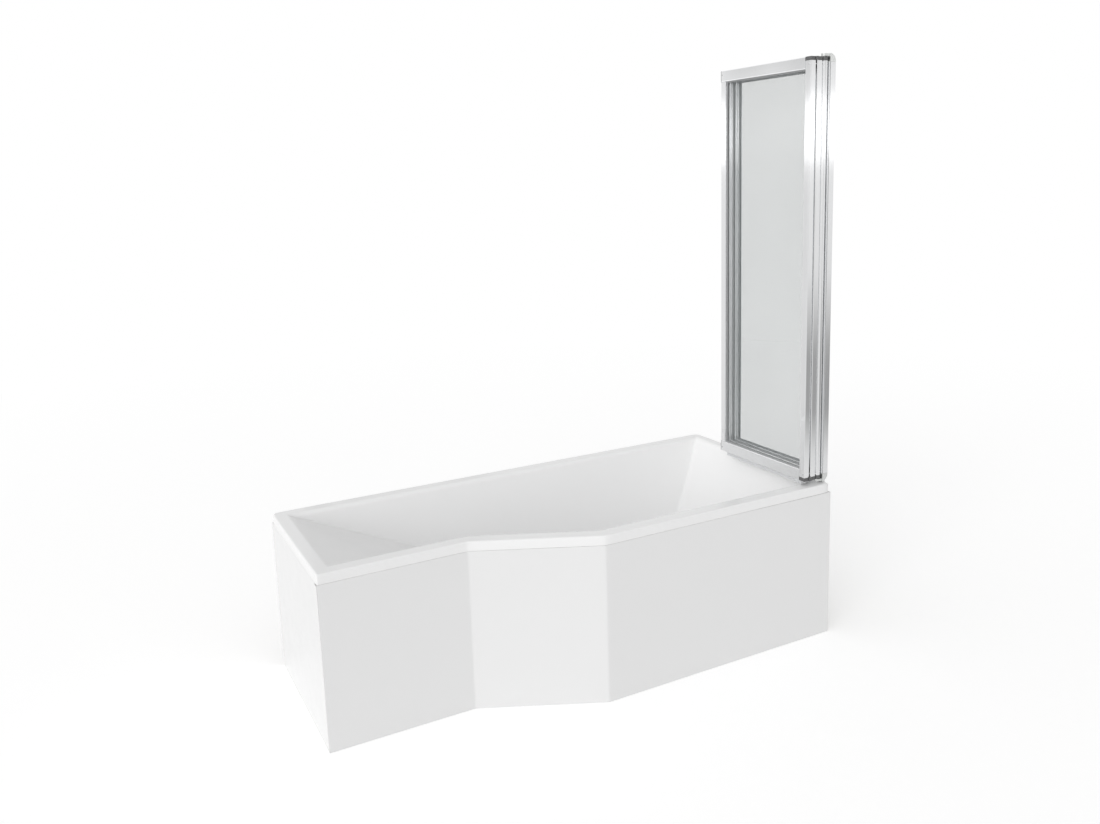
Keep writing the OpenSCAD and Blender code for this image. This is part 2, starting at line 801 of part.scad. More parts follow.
overflow_depth = 30;
overflow_pipe_y = rim_front_wide + (bath_h - overflow_h) * tan(front_lean)
    - (shell_t + gasket_t + 0.5 * overflow_depth) * cos(front_lean);
overflow_spigot_z = overflow_h - 52;
bend_r = 40;
// Moulded cup behind the basin's wall with a socket that points down
module overflow_body() {
    color("whitesmoke") placed() difference() {
        union() {
            at_overflow() translate([0, 0, -shell_t - gasket_t - overflow_depth])
                cylinder(h = overflow_depth, r = overflow_cover_r, $fn = smooth);
            translate([waste_x, overflow_pipe_y, overflow_spigot_z])
                cylinder(h = 30, r = overflow_pipe_r + 3, $fn = smooth);
        }
        at_overflow() translate([0, 0, -shell_t - gasket_t - overflow_depth + 3])
            cylinder(h = overflow_depth, r = overflow_cover_r - 4, $fn = smooth);
        translate([waste_x, overflow_pipe_y, overflow_spigot_z - past])
            cylinder(h = 50, r = overflow_pipe_r - 3, $fn = smooth);
        translate([waste_x, overflow_pipe_y, overflow_spigot_z - past])
            cylinder(h = 14 + past, r = overflow_pipe_r + turn, $fn = smooth);
    }
}

// Ribbed hose: plain cuffs at both ends, ribs down its upright run and a bend at the bottom
module overflow_pipe() {
    top = overflow_spigot_z + 14;
    ribs_top = overflow_spigot_z - 12;
    ribs_end = inlet_z + bend_r + 6;
    pitch = 6;
    count = floor((ribs_top - ribs_end) / pitch);
    root = overflow_pipe_r - 2;
    ribs = [
        for (n = [0:count - 1], step = [0:3])
            [step == 0 || step == 3 ? root : overflow_pipe_r,
             ribs_top - pitch * (n + [0.1, 0.3, 0.7, 0.9][step])]
    ];
    color("whitesmoke") placed() translate([waste_x, overflow_pipe_y, 0]) {
        rotate_extrude($fn = smooth)
            polygon(concat(
                [[root - 2, top], [overflow_pipe_r, top], [overflow_pipe_r, ribs_top], [root, ribs_top]],
                ribs,
                [[root, inlet_z + bend_r], [root - 2, inlet_z + bend_r]]
            ));
        translate([0, bend_r, inlet_z + bend_r]) rotate([0, 90, 0]) rotate([0, 0, -90])
            rotate_extrude(angle = 90, $fn = smooth) translate([bend_r, 0]) hose_wall(root);
        translate([0, bend_r, inlet_z]) rotate([-90, 0, 0])
            linear_extrude(waste_y - overflow_pipe_y - bend_r - 33) hose_wall(overflow_pipe_r);
    }
}

module hose_wall(r) {
    difference() {
        circle(r, $fn = smooth);
        circle(overflow_pipe_r - 4, $fn = smooth);
    }
}

// ---------- Screen: frame sections ----------

slot_w = glass_t + 3.4;
slot_depth = 10;
glass_bite = 8;
gasket_bite = slot_depth - 0.4;
gasket_lip = 4;
gasket_w = slot_w - 2 * seat;
stile_hollow = stile_w - slot_depth - 2 * section_t;
plug_l = 20;
leaf_screw_r = 1.5;
leaf_screw_y = section_t + stile_hollow / 2;
rail_hollow = leaf_rail_h - slot_depth - 2 * section_t;

module at_leaf(x) translate([x, leaf_y, leaf_z]) children();
// Turns a piece drawn at a leaf's front or lower end round to its far or upper end
module far_end() translate([0, leaf_w, 0]) mirror([0, 1, 0]) children();
module upper_end() translate([0, 0, leaf_h]) mirror([0, 0, 1]) children();
module both_heights() {
    children();
    upper_end() children();
}

// Slot for the glass, at the inner side of a section of the given width
module glass_slot(w) translate([(leaf_t - slot_w) / 2, w - slot_depth]) square([slot_w, slot_depth + past]);

module stile_section() {
    difference() {
        rounded_rect(leaf_t, stile_w, leaf_edge_r);
        stile_hollow_section(0);
        glass_slot(stile_w);
    }
}

module stile_hollow_section(clearance) {
    translate([section_t + clearance, section_t + clearance])
        square([leaf_t - 2 * section_t - 2 * clearance, stile_hollow - 2 * clearance]);
}

// Outline beside the wall, its outer side rounded about the hinge's axis
module nose(w) {
    r = leaf_t / 2;
    translate([r, r]) circle(r, $fn = smooth);
    translate([0, r]) square([leaf_t, w - r]);
}

module nosed_hollow_section(clearance) {
    intersection() {
        translate([leaf_t / 2, leaf_t / 2]) circle(leaf_t / 2 - section_t - clearance, $fn = smooth);
        square([leaf_t, section_t + stile_hollow - clearance]);
    }
}

module nosed_section() {
    difference() {
        nose(stile_w);
        nosed_hollow_section(0);
        glass_slot(stile_w);
    }
}

// Upright member between its two caps, with holes for the screws near its ends
module stile() {
    difference() {
        translate([0, 0, cap_h]) linear_extrude(leaf_h - 2 * cap_h) children();
        both_heights() leaf_screw_hole(cap_h + plug_l / 2, 2 * section_t);
    }
}

module leaf_screw_hole(z, depth) {
    translate([-past, leaf_screw_y, z]) rotate([0, 90, 0])
        cylinder(h = depth + past, r = leaf_screw_r + turn, $fn = smooth);
}

// Level member between two distances along the leaf, glass slot upward
module leaf_rail(y0, y1) {
    translate([0, y1, 0]) rotate([90, 0, 0])
        difference() {
            linear_extrude(y1 - y0) rounded_rect(leaf_t, leaf_rail_h, leaf_edge_r);
            translate([0, 0, -past]) linear_extrude(y1 - y0 + 2 * past)
                translate([section_t, section_t]) square([leaf_t - 2 * section_t, rail_hollow]);
            translate([0, 0, y1 > leaf_w - stile_w ? stile_w - slot_depth - end_plug_t : -past])
                linear_extrude(y1 - y0 + 2 * past) glass_slot(leaf_rail_h);
        }
}

module leaf_glass() {
    translate([(leaf_t - glass_t) / 2, stile_w - glass_bite, leaf_rail_h - glass_bite])
        cube([glass_t, leaf_w - 2 * (stile_w - glass_bite), leaf_h - 2 * (leaf_rail_h - glass_bite)]);
}

// Channel gasket in the frame's slot, with a lip that shows round the glass
module leaf_gasket() {
    y = stile_w - gasket_bite;
    z = leaf_rail_h - gasket_bite;
    difference() {
        translate([(leaf_t - gasket_w) / 2, y, z]) cube([gasket_w, leaf_w - 2 * y, leaf_h - 2 * z]);
        translate([0, stile_w + gasket_lip, leaf_rail_h + gasket_lip])
            cube([leaf_t, leaf_w - 2 * (stile_w + gasket_lip), leaf_h - 2 * (leaf_rail_h + gasket_lip)]);
        leaf_glass();
    }
}

// Soft strip under a leaf: a flat head, a fin and a bead that wipes the rim
module leaf_seal(y0, y1) {
    translate([leaf_t / 2, y1, -seat]) rotate([90, 0, 0]) linear_extrude(y1 - y0) {
        translate([-5, -2]) square([10, 2]);
        translate([-1, -seal_h + 1.5]) square([2, seal_h - 2]);
        translate([0, -seal_h + 1.5]) circle(2.5, $fn = smooth);
    }
}

module leaf_screw(z) {
    translate([-1.2, leaf_screw_y, z]) rotate([0, 90, 0]) {
        cylinder(h = 1.2, r = 2 * leaf_screw_r, $fn = smooth);
        cylinder(h = 1.2 + section_t + 8, r = leaf_screw_r, $fn = smooth);
    }
}

// ---------- Screen: hinge caps and pins ----------

// A leaf's axis of folding lies outside its corner: beside its face and beyond its end
fold_out = fold_gap / 2;
half_gap = 0.3;
// Cap on a hinged member's lower end. side is 0 for an axis beside the near face and 1 beside the
// far one; low says whether this leaf has the hinge's lower knuckle
module fold_cap(side, low) {
    axis_x = side == 0 ? -fold_out : leaf_t + fold_out;
    half = cap_h / 2;
    own_z = low ? 0 : half + half_gap / 2;
    other_z = low ? half - half_gap / 2 : -past;
    difference() {
        union() {
            linear_extrude(cap_h - seat) rounded_rect(leaf_t, stile_w, leaf_edge_r);
            translate([0, 0, cap_h - 2 * seat]) linear_extrude(plug_l) stile_hollow_section(seat);
            translate([axis_x, -fold_reach, own_z])
                cylinder(h = half - half_gap / 2 - (low ? 0 : seat), r = knuckle_r, $fn = smooth);
        }
        translate([axis_x, -fold_reach, other_z])
            cylinder(h = half + past + (low ? 1 : -1) * half_gap / 2, r = knuckle_r + 0.5, $fn = smooth);
        translate([axis_x, -fold_reach, -past])
            cylinder(h = cap_h + 2 * past, r = low ? fold_pin_r : fold_pin_r + turn, $fn = smooth);
        leaf_screw_hole(cap_h + plug_l / 2, section_t + 8);
    }
}

module fold_pin(side) {
    translate([side == 0 ? -fold_out : leaf_t + fold_out, -fold_reach, 0])
        cylinder(h = cap_h - seat, r = fold_pin_r, $fn = smooth);
}

// Cap of the member beside the wall, with a blind hole for the wall hinge's pin
module wall_cap() {
    difference() {
        union() {
            linear_extrude(cap_h - seat) nose(stile_w);
            translate([0, 0, cap_h - 2 * seat]) linear_extrude(plug_l) nosed_hollow_section(seat);
        }
        translate([leaf_t / 2, leaf_t / 2, -past]) cylinder(h = cap_h, r = wall_pin_r + turn, $fn = smooth);
        leaf_screw_hole(cap_h + plug_l / 2, section_t + 8);
    }
}

end_plug_t = 2;
// Closes the open end of a level member at the screen's free edge
module end_plug() {
    difference() {
        union() {
            translate([0, leaf_w, 0]) rotate([90, 0, 0]) linear_extrude(end_plug_t - seat)
                rounded_rect(leaf_t, leaf_rail_h, leaf_edge_r);
            translate([section_t + seat, leaf_w - end_plug_t - plug_l, section_t + seat])
                cube([leaf_t - 2 * (section_t + seat), plug_l + end_plug_t - seat, rail_hollow - 2 * seat]);
        }
        far_end() leaf_screw_hole(end_screw_z, section_t + 8);
    }
}

end_screw_z = section_t + rail_hollow / 2;
module end_rail() {
    difference() {
        leaf_rail(stile_w, leaf_w - end_plug_t);
        far_end() leaf_screw_hole(end_screw_z, 2 * section_t);
    }
}

module leaf_screws() {
    both_heights() {
        leaf_screw(cap_h + plug_l / 2);
        far_end() leaf_screw(cap_h + plug_l / 2);
    }
}

alu = "silver";
cap_colour = [0.12, 0.12, 0.13];
seal_colour = "gainsboro";

// ---------- Inner leaf: hinged to the wall at the front and to the middle leaf at the back ----------

module inner_leaf_wall_stile() color(alu) placed() at_leaf(inner_x) stile() nosed_section();
module inner_leaf_fold_stile() color(alu) placed() at_leaf(inner_x) far_end() stile() stile_section();
module inner_leaf_top_rail() color(alu) placed() at_leaf(inner_x) upper_end() inner_rail();
module inner_leaf_bottom_rail() color(alu) placed() at_leaf(inner_x) inner_rail();
module inner_rail() leaf_rail(stile_w, leaf_w - stile_w);
module inner_leaf_glass() color("lightcyan", 0.4) placed() at_leaf(inner_x) leaf_glass();
module inner_leaf_gasket() color("dimgray") placed() at_leaf(inner_x) leaf_gasket();
module inner_leaf_caps() {
    color(cap_colour) placed() at_leaf(inner_x) both_heights() {
        wall_cap();
        far_end() fold_cap(0, true);
    }
}
module inner_leaf_screws() color(alu) placed() at_leaf(inner_x) leaf_screws();
module inner_leaf_seal() {
    color(seal_colour) placed() at_leaf(inner_x) leaf_seal(2 * stile_w, leaf_w - stile_w);
}
module inner_fold_pins() color(alu) placed() at_leaf(inner_x) both_heights() far_end() fold_pin(0);

// ---------- Middle leaf: hinged at both ends ----------

module middle_leaf_inner_stile() color(alu) placed() at_leaf(middle_x) far_end() stile() stile_section();
module middle_leaf_outer_stile() color(alu) placed() at_leaf(middle_x) stile() stile_section();
module middle_leaf_top_rail() color(alu) placed() at_leaf(middle_x) upper_end() inner_rail();
module middle_leaf_bottom_rail() color(alu) placed() at_leaf(middle_x) inner_rail();
module middle_leaf_glass() color("lightcyan", 0.4) placed() at_leaf(middle_x) leaf_glass();
module middle_leaf_gasket() color("dimgray") placed() at_leaf(middle_x) leaf_gasket();
module middle_leaf_caps() {
    color(cap_colour) placed() at_leaf(middle_x) both_heights() {
        fold_cap(0, true);
        far_end() fold_cap(1, false);
    }
}
module middle_leaf_screws() color(alu) placed() at_leaf(middle_x) leaf_screws();
module middle_leaf_seal() color(seal_colour) placed() at_leaf(middle_x) leaf_seal(stile_w, leaf_w - stile_w);
module outer_fold_pins() color(alu) placed() at_leaf(middle_x) both_heights() fold_pin(0);

// ---------- Outer leaf: hinged at the front, its rails running over the free stile at the back ----------

module outer_leaf_fold_stile() color(alu) placed() at_leaf(outer_x) stile() stile_section();
module outer_leaf_free_stile() {
    color(alu) placed() at_leaf(outer_x) far_end()
        translate([0, 0, leaf_rail_h]) linear_extrude(leaf_h - 2 * leaf_rail_h) stile_section();
}
module outer_leaf_top_rail() color(alu) placed() at_leaf(outer_x) upper_end() end_rail();
module outer_leaf_bottom_rail() color(alu) placed() at_leaf(outer_x) end_rail();
module outer_leaf_glass() color("lightcyan", 0.4) placed() at_leaf(outer_x) leaf_glass();
module outer_leaf_gasket() color("dimgray") placed() at_leaf(outer_x) leaf_gasket();
module outer_leaf_caps() {
    color(cap_colour) placed() at_leaf(outer_x) both_heights() {
        fold_cap(1, false);
        end_plug();
    }
}
module outer_leaf_screws() {
    color(alu) placed() at_leaf(outer_x) both_heights() {
        leaf_screw(cap_h + plug_l / 2);
        far_end() leaf_screw(end_screw_z);
    }
}
module outer_leaf_seal() color(seal_colour) placed() at_leaf(outer_x) leaf_seal(stile_w, leaf_w - stile_w);

// ---------- Wall channel, post and wall hinge ----------

channel_t = 2;
channel_hole_step = 600;
post_gap = 0.5;
post_wall = 2;
post_x1 = wall_x - channel_t - 3;
post_y0 = channel_y + channel_t + post_gap;
post_y1 = channel_y + channel_w - channel_t - post_gap;
lips_x = channel_x + 3;
arm_z = leaf_z - arm_gap - arm_t;
arm_block_h = 26;
post_z0 = arm_z + arm_block_h;
post_z1 = screen_top - arm_block_h;
post_mid_x = (channel_x + post_x1) / 2;
post_screw_r = 2;
post_screw_zs = [for (s = [-1, 0, 1]) (post_z0 + post_z1) / 2 + s * channel_hole_step];
// Distance of a fastening hole below the post's screw beside it
fixing_drop = 50;

// Aluminium channel, open towards the bath, with three holes through its back
module wall_channel() {
    color(alu) placed() difference() {
        translate([lips_x, channel_y, post_z0]) cube([wall_x - lips_x, channel_w, post_z1 - post_z0]);
        translate([lips_x - past, channel_y + channel_t, post_z0 - past])
            cube([
                wall_x - channel_t - lips_x + past, channel_w - 2 * channel_t,
                post_z1 - post_z0 + 2 * past
            ]);
        for (z = post_screw_zs) {
            translate([wall_x - 2 * channel_t, hinge_y, z - fixing_drop]) rotate([0, 90, 0])
                cylinder(h = 3 * channel_t, r = fixing_r, $fn = smooth);
            translate([post_mid_x, channel_y + channel_w - 2 * channel_t, z]) rotate([-90, 0, 0])
                cylinder(h = 3 * channel_t, r = post_screw_r + turn, $fn = smooth);
        }
    }
}

// Hollow post that slides in the channel to take up an uneven wall
module hinge_post() {
    color(alu) placed() difference() {
        translate([channel_x, post_y0, post_z0]) linear_extrude(post_z1 - post_z0) difference() {
            rounded_rect(post_x1 - channel_x, post_y1 - post_y0, 1.5);
            translate([post_wall, post_wall])
                square([post_x1 - channel_x - 2 * post_wall, post_y1 - post_y0 - 2 * post_wall]);
        }
        for (z = post_screw_zs) translate([post_mid_x, post_y1 - 2 * post_wall, z])
            rotate([-90, 0, 0]) cylinder(h = 4 * post_wall, r = post_screw_r + turn, $fn = smooth);
    }
}

module post_screws() {
    reach = post_wall + 1 + post_gap + channel_t;
    color(alu) placed() for (z = post_screw_zs)
        translate([post_mid_x, post_y1 - post_wall - 1, z]) rotate([-90, 0, 0]) {
            cylinder(h = reach, r = post_screw_r, $fn = smooth);
            translate([0, 0, reach]) cylinder(h = 1.5, r = 2 * post_screw_r, $fn = smooth);
        }
}

// Blocks that close the channel's ends and plug into the post, each with an arm that reaches
// over or under the inner leaf to carry its pin; the lower one stands on the rim
module wall_hinge_arms() {
    color(cap_colour) placed() {
        wall_arm();
        translate([0, 0, post_z0 + post_z1]) mirror([0, 0, 1]) wall_arm();
        translate([channel_x + 3, hinge_y - 10, bath_h]) cube([12, 20, arm_z - bath_h + past]);
    }
}

module wall_arm() {
    r = leaf_t / 2 - 0.5;
    round_r = arm_block_h - arm_t / 2;
    plug_x = post_x1 - channel_x - 2 * post_wall - 2 * seat;
    plug_y = post_y1 - post_y0 - 2 * post_wall - 2 * seat;
    difference() {
        union() {
            translate([hinge_x, hinge_y, arm_z]) cylinder(h = arm_t, r = r, $fn = smooth);
            translate([hinge_x, hinge_y - r, arm_z]) cube([channel_x - hinge_x + past, 2 * r, arm_t]);
            translate([channel_x, channel_y + channel_w, arm_z]) rotate([90, 0, 0])
                linear_extrude(channel_w) {
                    square([channel_d - round_r, arm_block_h - seat]);
                    translate([0, round_r]) square([channel_d, arm_block_h - round_r - seat]);
                    intersection() {
                        translate([channel_d - round_r, round_r]) circle(round_r, $fn = smooth);
                        square([channel_d, arm_block_h - seat]);
                    }
                }
            translate([channel_x + post_wall + seat, post_y0 + post_wall + seat, post_z0 - past])
                cube([plug_x, plug_y, plug_l + past]);
        }
        translate([hinge_x, hinge_y, arm_z - past])
            cylinder(h = arm_t + 2 * past, r = wall_pin_r, $fn = smooth);
    }
}

module wall_hinge_pins() {
    reach = arm_t + arm_gap + cap_h - 2 * past;
    color(alu) placed() for (z = [arm_z, screen_top - reach])
        translate([hinge_x, hinge_y, z]) cylinder(h = reach, r = wall_pin_r, $fn = smooth);
}

tub_shell();
rim_battens();
base_board();
front_panel();
end_panel();
panel_clips();
floor_battens();
rim_wall_brackets();
leg_rail_back_rest_side();
leg_rail_screen_side();
rail_screws();
back_rest_frame();
back_rest_wedge();
foot_studs();
foot_nuts();
foot_pads();
waste_flange();
waste_plug();
waste_gaskets();
waste_body();
waste_trap();
waste_outlet_pipe();
overflow_cover();
overflow_body();
overflow_pipe();
wall_channel();
hinge_post();
post_screws();
wall_hinge_arms();
wall_hinge_pins();
inner_fold_pins();
outer_fold_pins();
inner_leaf_wall_stile();
inner_leaf_fold_stile();
inner_leaf_top_rail();
inner_leaf_bottom_rail();
inner_leaf_glass();
inner_leaf_gasket();
inner_leaf_caps();
inner_leaf_screws();
inner_leaf_seal();
middle_leaf_inner_stile();
middle_leaf_outer_stile();
middle_leaf_top_rail();
middle_leaf_bottom_rail();
middle_leaf_glass();
middle_leaf_gasket();
middle_leaf_caps();
middle_leaf_screws();
middle_leaf_seal();
outer_leaf_fold_stile();
outer_leaf_free_stile();
outer_leaf_top_rail();
outer_leaf_bottom_rail();
outer_leaf_glass();
outer_leaf_gasket();
outer_leaf_caps();
outer_leaf_screws();
outer_leaf_seal();
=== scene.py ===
"""Looks for the shower bath: acrylic tub, moulded panels, levelled frame, waste and folding screen.

Lengths are metres in the row's frame. The tub and the panels are worked out here as smooth
surfaces; every other piece keeps its solid and takes a finish.
"""

import math

import bpy
import numpy as np
from mathutils import Matrix, Vector
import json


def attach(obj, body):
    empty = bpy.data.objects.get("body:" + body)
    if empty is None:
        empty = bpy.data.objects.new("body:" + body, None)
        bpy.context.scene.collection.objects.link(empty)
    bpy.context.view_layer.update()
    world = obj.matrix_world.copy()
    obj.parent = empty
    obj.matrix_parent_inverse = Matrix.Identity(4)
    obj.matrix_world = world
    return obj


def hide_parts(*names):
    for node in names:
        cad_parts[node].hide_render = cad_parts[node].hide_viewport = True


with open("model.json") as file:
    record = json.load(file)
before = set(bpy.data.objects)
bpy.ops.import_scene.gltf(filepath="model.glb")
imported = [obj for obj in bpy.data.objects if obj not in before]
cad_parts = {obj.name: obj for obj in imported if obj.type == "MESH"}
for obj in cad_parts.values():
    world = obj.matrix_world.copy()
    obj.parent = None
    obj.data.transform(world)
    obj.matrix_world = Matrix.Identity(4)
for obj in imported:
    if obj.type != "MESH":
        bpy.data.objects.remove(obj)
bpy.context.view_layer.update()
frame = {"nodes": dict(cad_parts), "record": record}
nodes = frame["nodes"]


# ---------- Shader expressions ----------


class Value:
    """A shader socket that takes part in Python sums: each operator adds one Math node."""

    def __init__(self, nodes, socket):
        self.nodes = nodes
        self.socket = socket

    def _math(self, operation, *terms):
        return self.nodes.node("ShaderNodeMath", {"operation": operation}, terms)

    def __add__(self, other):
        return self._math("ADD", self, other)

    def __sub__(self, other):
        return self._math("SUBTRACT", self, other)

    def __rsub__(self, other):
        return self._math("SUBTRACT", other, self)

    def __mul__(self, other):
        return self._math("MULTIPLY", self, other)

    def __gt__(self, other):
        return self._math("GREATER_THAN", self, other)

    def __pow__(self, other):
        return self._math("POWER", self, other)

    def to(self, low, high, out_low=0.0, out_high=1.0):
        """The value's share of the way from low to high, carried to the second range and kept in it."""
        settings = {"clamp": True}
        return self.nodes.node("ShaderNodeMapRange", settings, [self, low, high, out_low, out_high])

    __radd__ = __add__
    __rmul__ = __mul__


class Nodes:
    """A node tree, and the one way in which nodes are added to it."""

    def __init__(self, tree):
        self.tree = tree

    def node(self, kind, settings=None, inputs=(), out=0):
        """Adds a node of a kind, with its settings and then its inputs, and returns one output."""
        made = self.tree.nodes.new(kind)
        for key, value in (settings or {}).items():
            setattr(made, key, value)
        pairs = inputs.items() if isinstance(inputs, dict) else enumerate(inputs)
        for key, value in pairs:
            if isinstance(value, Value):
                self.tree.links.new(value.socket, made.inputs[key])
            else:
                made.inputs[key].default_value = value
        return Value(self, made.outputs[out])

    def seen(self):
        """1 for the camera's rays and for those off a gloss or through glass, 0 for diffuse ones."""
        rays = ["Is Camera Ray", "Is Glossy Ray", "Is Transmission Ray"]
        camera, gloss, glass = (self.node("ShaderNodeLightPath", out=ray) for ray in rays)
        return 1.0 - (1.0 - camera) * (1.0 - gloss) * (1.0 - glass)

    def mixed(self, share, first, second):
        """Second shader by a share, and the first by the rest."""
        return self.node("ShaderNodeMixShader", None, {0: share, 1: first, 2: second})

    def finish_with(self, shader, end):
        """Links a shader to the tree's output, the node named by end."""
        self.tree.links.new(shader.socket, self.tree.nodes[end].inputs["Surface"])


class Finish(Nodes):
    """A node material round one Principled shader."""

    def __init__(self, name, colour, roughness, metallic=0.0, **more):
        self.material = bpy.data.materials.new(name)
        self.material.use_nodes = True
        super().__init__(self.material.node_tree)
        self.shader = self.tree.nodes["Principled BSDF"]
        self.put("Base Color", (*colour, 1.0))
        self.put("Roughness", roughness)
        self.put("Metallic", metallic)
        for key, value in more.items():
            self.put(key.replace("_", " ").title().replace("Ior", "IOR"), value)
        self.material.diffuse_color = (*colour, 1.0)

    def put(self, socket, value):
        """Sets a shader socket, or links it where the value comes from other nodes."""
        if isinstance(value, Value):
            self.tree.links.new(value.socket, self.shader.inputs[socket])
        else:
            self.shader.inputs[socket].default_value = value

    def place(self, stretch):
        """Object coordinates, each axis times its own number."""
        spot = self.node("ShaderNodeTexCoord", out="Object")
        return self.node("ShaderNodeMapping", None, {"Vector": spot, "Scale": stretch})

    def noise(self, scale, detail=3.0, rough=0.5, stretch=(1.0, 1.0, 1.0)):
        """Smooth noise between 0 and 1."""
        inputs = {"Vector": self.place(stretch), "Scale": scale, "Detail": detail, "Roughness": rough}
        return self.node("ShaderNodeTexNoise", None, inputs)

    def cells(self, scale, out="Distance", stretch=(1.0, 1.0, 1.0)):
        """Voronoi cells: the distance from each cell's middle, or one colour to a cell."""
        inputs = {"Vector": self.place(stretch), "Scale": scale}
        return self.node("ShaderNodeTexVoronoi", None, inputs, out)

    def blend(self, factor, first, second):
        """Colour between two colours."""
        settings = {"data_type": "RGBA"}
        full = [(*c, 1.0) if isinstance(c, tuple) and len(c) == 3 else c for c in (first, second)]
        return self.node("ShaderNodeMix", settings, {0: factor, 6: full[0], 7: full[1]}, 2)

    def bump(self, height, distance, strength=1.0):
        """Bump of a height between 0 and 1, as deep as the distance."""
        inputs = {"Height": height, "Distance": distance, "Strength": strength}
        self.put("Normal", self.node("ShaderNodeBump", None, inputs))


# ---------- Finishes ----------


def white_acrylic(name, colour, ripple):
    """Glossy sheet: long slow ripples and a trace of variation in its shade and gloss."""
    f = Finish(name, colour, 0.26, ior=1.49, specular_ior_level=0.4)
    slow = f.noise(5.0, 1.0)
    shade = tuple(0.985 * c for c in colour)
    f.put("Base Color", f.blend(f.noise(2.2, 3.0), colour, shade))
    f.put("Roughness", f.noise(9.0, 3.0).to(0.3, 0.75, 0.2, 0.27))
    f.bump(slow * ripple, 0.0006)
    return f.material


def glass_fibre_backing():
    """Sprayed resin over chopped strands: matt, mottled and rough to the hand."""
    f = Finish("glass_fibre_backing", (0.79, 0.78, 0.73), 0.6)
    strands = f.cells(95.0, stretch=(1.0, 1.0, 0.35)) * 0.6 + f.noise(240.0, 4.0) * 0.4
    f.put("Base Color", f.blend(f.noise(38.0, 5.0).to(0.35, 0.65), (0.82, 0.81, 0.77), (0.70, 0.69, 0.63)))
    f.put("Roughness", f.noise(60.0, 3.0).to(0.3, 0.7, 0.45, 0.75))
    f.bump(strands, 0.0012)
    return f.material


def timber(name, along):
    """Sawn softwood: growth rings cut along one axis, with fine saw marks across them."""
    stretch = tuple(1.0 if axis == along else 14.0 for axis in range(3))
    marks = tuple(160.0 if axis == along else 6.0 for axis in range(3))
    f = Finish(name, (0.62, 0.44, 0.26), 0.7)
    rings = f.noise(3.2, 5.0, 0.55, stretch)
    bands = f.node("ShaderNodeMath", {"operation": "SINE"}, [rings * 58.0]).to(-1.0, 1.0)
    saw = f.noise(2.0, 2.0, 0.5, marks)
    f.put("Base Color", f.blend(bands ** 1.6 * 0.75, (0.70, 0.53, 0.33), (0.50, 0.32, 0.17)))
    f.put("Roughness", saw.to(0.3, 0.7, 0.6, 0.82))
    f.bump(saw * 0.6 + bands * 0.4, 0.0004)
    return f.material


def chipboard():
    """Pressed flakes of several tones."""
    f = Finish("chipboard", (0.56, 0.42, 0.27), 0.75)
    flakes = f.cells(210.0, out="Color", stretch=(1.0, 0.55, 1.0))
    tone = f.node("ShaderNodeSeparateColor", None, [flakes])
    f.put("Base Color", f.blend(tone, (0.66, 0.51, 0.33), (0.42, 0.29, 0.17)))
    f.bump(tone * 0.5 + f.noise(500.0) * 0.5, 0.0003)
    return f.material


def galvanised_steel():
    """Zinc coat with large dull spangles."""
    f = Finish("galvanised_steel", (0.60, 0.62, 0.64), 0.42, 0.85)
    spangle = f.node("ShaderNodeSeparateColor", None, [f.cells(75.0, out="Color")])
    f.put("Base Color", f.blend(spangle, (0.54, 0.56, 0.58), (0.68, 0.70, 0.71)))
    f.put("Roughness", spangle.to(0.0, 1.0, 0.34, 0.52))
    f.bump(f.noise(160.0, 4.0), 0.0001)
    return f.material


def turned_metal(name, colour, roughness, scratch):
    """Plated or stainless hardware with very fine marks and faint handling smears."""
    f = Finish(name, colour, roughness, 1.0)
    fine = f.noise(900.0, 3.0, 0.6, (1.0, 1.0, 5.0))
    f.put("Roughness", f.noise(45.0, 4.0).to(0.3, 0.75, roughness, roughness + scratch))
    f.bump(fine, 0.00002)
    return f.material


def polished_aluminium(name, along):
    """Bright anodised section: fine drawing lines along its length, and a little haze."""
    stretch = tuple(3.0 if axis == along else 900.0 for axis in range(3))
    f = Finish(name, (0.90, 0.905, 0.91), 0.12, 1.0)
    lines = f.noise(1.0, 3.0, 0.6, stretch)
    haze = f.noise(7.0, 3.0)
    f.put("Base Color", f.blend(lines, (0.93, 0.935, 0.94), (0.84, 0.845, 0.855)))
    f.put("Roughness", lines * 0.07 + haze.to(0.3, 0.7, 0.07, 0.13))
    f.bump(lines, 0.00001, 0.5)
    return f.material


def moulded_plastic(name, colour, roughness, grain):
    """Injection-moulded plastic with a fine spark-eroded grain."""
    f = Finish(name, colour, roughness)
    shade = tuple(0.86 * c for c in colour)
    f.put("Base Color", f.blend(f.noise(30.0, 4.0), colour, shade))
    f.put("Roughness", f.noise(14.0, 3.0).to(0.3, 0.7, roughness - 0.06, roughness + 0.08))
    f.bump(f.noise(1400.0, 2.0), grain)
    return f.material


def clear_glass():
    """Toughened pane, lightly tinted, with a trace of dried water drops in its gloss."""
    f = Finish("clear_glass", (0.42, 0.46, 0.46), 0.04, ior=1.52, alpha=0.1)
    drops = f.cells(90.0) > 0.42
    f.put("Roughness", drops * 0.02 + f.noise(5.0, 3.0).to(0.35, 0.7, 0.03, 0.07))
    f.put("Alpha", f.noise(3.0, 2.0).to(0.3, 0.7, 0.095, 0.105))
    return f.material


